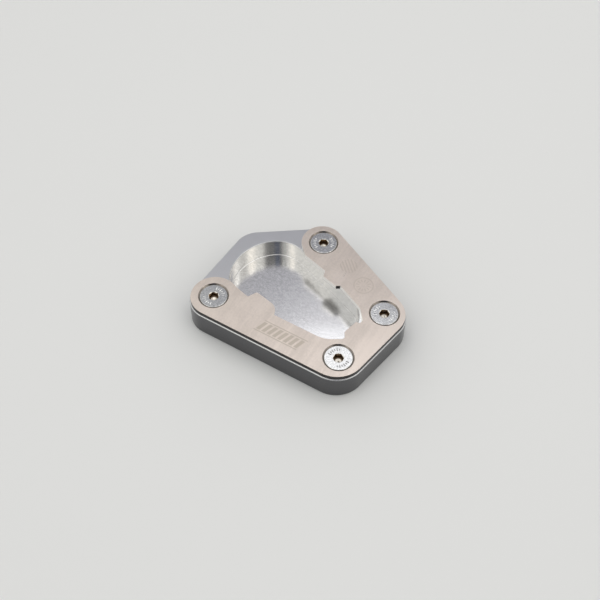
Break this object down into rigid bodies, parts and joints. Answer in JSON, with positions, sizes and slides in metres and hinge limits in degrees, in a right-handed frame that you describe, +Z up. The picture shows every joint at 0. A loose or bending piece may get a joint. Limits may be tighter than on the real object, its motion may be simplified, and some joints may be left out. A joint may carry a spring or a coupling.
{
  "type": "kickstand foot enlarger",
  "caption": "Five-sided enlarger for the foot of a motorcycle side stand: a milled base with a foot-shaped pocket, under a gripping cover plate held by countersunk screws.",
  "frame": {"origin": "middle of the underside's bounding box, on the ground face", "axes": "+X along the long straight front edge, towards the narrow end of the pocket; +Y from that edge towards the back screw; +Z up, out of the pocket"},
  "size_m": [0.0876, 0.0706, 0.014],
  "materials": {
    "milled_aluminium": "satin on top, bright milled walls in the pocket",
    "brushed_stainless": "finely brushed, warm grey",
    "bright_steel": "bright, lightly polished"
  },
  "bodies": {
    "root": {"foot_base": "milled_aluminium", "cover_plate": "brushed_stainless", "cover_screws": "bright_steel"}
  },
  "joints": []
}
